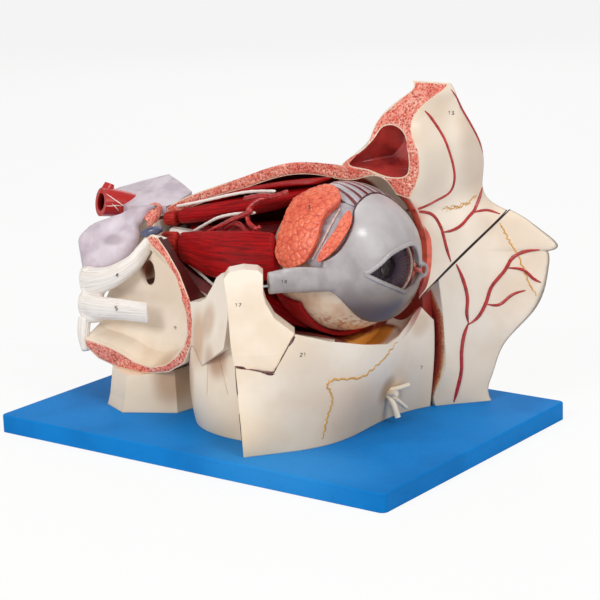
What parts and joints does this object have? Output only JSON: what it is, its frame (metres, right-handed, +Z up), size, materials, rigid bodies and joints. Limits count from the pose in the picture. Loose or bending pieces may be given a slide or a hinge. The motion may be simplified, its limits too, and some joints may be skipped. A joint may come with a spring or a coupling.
{
  "type": "eye anatomy model",
  "caption": "Enlarged anatomical teaching model of a right eye in its opened bony socket, with lift-off eyelids, side muscle and cheek bone piece, on a flat board",
  "frame": {"origin": "centre of the board's underside", "axes": "+X forward along the board's long side, the way the eye looks; +Y towards the nose; +Z up"},
  "size_m": [0.3185, 0.217, 0.229],
  "materials": {
    "board_blue": "smooth blue board, semi-gloss",
    "steel": "plain steel",
    "bone": "cast plastic painted warm cream, satin",
    "spongy_bone": "salmon spongy bone section, pitted",
    "orbit_lining": "dark red lining paint, satin",
    "dura": "pale lilac grey, satin",
    "nerve": "off-white with fine lengthwise strands",
    "artery": "glossy bright red",
    "vein": "slate blue grey",
    "muscle": "crimson with fine lengthwise grooves, satin gloss",
    "sclera": "cream white with fine vessels",
    "retina": "orange red lining",
    "clear_front": "clear plastic dome",
    "iris": "dark violet brown with radial streaks",
    "clear_lens": "clear plastic lens",
    "clear_body": "clear plastic body",
    "lid_grey": "cool grey, satin",
    "gland": "orange salmon, cobbled lobules",
    "caruncle": "moist pinkish red"
  },
  "bodies": {
    "stand": {"base_board": "board_blue", "fixing_screws": "steel", "frontal_bone": "bone", "nasal_bone": "bone", "orbit_wall": "orbit_lining", "cheek_bone": "bone", "upper_jaw": "bone", "temple_wing": "bone", "sphenoid_bone": "bone", "support_column": "bone", "dura_plate": "dura", "lesser_wing": "spongy_bone", "nerve_ganglion": "dura", "upper_nerve_trunk": "nerve", "lower_nerve_trunk": "nerve", "jaw_nerve_trunk": "nerve", "carotid_artery": "artery", "orbit_vein": "vein", "upper_muscle_stub": "muscle", "side_muscle_stub": "muscle", "upper_rectus": "muscle", "lid_lifter": "muscle", "inner_rectus": "muscle", "lower_rectus": "muscle", "lower_oblique": "muscle", "optic_nerve": "nerve", "orbit_nerves": "nerve", "orbit_arteries": "artery", "cheek_nerve": "nerve", "sclera_back": "sclera", "retina_cup": "retina"},
    "side_bone": {"cheek_process": "bone"},
    "side_muscle": {"side_rectus": "muscle"},
    "vitreous": {"vitreous_body": "clear_body"},
    "lens": {"eye_lens": "clear_lens"},
    "front_eye": {"sclera_front": "sclera", "cornea": "clear_front", "iris": "iris"},
    "lids": {"upper_lid": "lid_grey", "lower_lid": "lid_grey", "gland_sheet": "lid_grey", "tear_gland_large": "gland", "tear_gland_small": "gland", "lid_tendon": "lid_grey", "corner_band": "lid_grey", "corner_pin": "steel", "tear_caruncle": "caruncle"}
  },
  "joints": [
    {"name": "side_bone_pull", "type": "slide", "parent": "stand", "child": "side_bone", "axis": [0.6, -0.8, 0], "range_m": [0, 0.06]},
    {"name": "side_muscle_lift", "type": "slide", "parent": "stand", "child": "side_muscle", "axis": [0, -0.5, 0.866], "range_m": [0, 0.08]},
    {"name": "eyeball_pull", "type": "slide", "parent": "stand", "child": "vitreous", "axis": [0.9781, -0.2079, 0], "range_m": [0, 0.11]},
    {"name": "lens_pull", "type": "slide", "parent": "vitreous", "child": "lens", "axis": [0.9781, -0.2079, 0], "range_m": [0, 0.025]},
    {"name": "front_half_pull", "type": "slide", "parent": "lens", "child": "front_eye", "axis": [0.9781, -0.2079, 0], "range_m": [0, 0.05]},
    {"name": "lids_pull", "type": "slide", "parent": "front_eye", "child": "lids", "axis": [0.9781, -0.2079, 0], "range_m": [0, 0.06]}
  ]
}
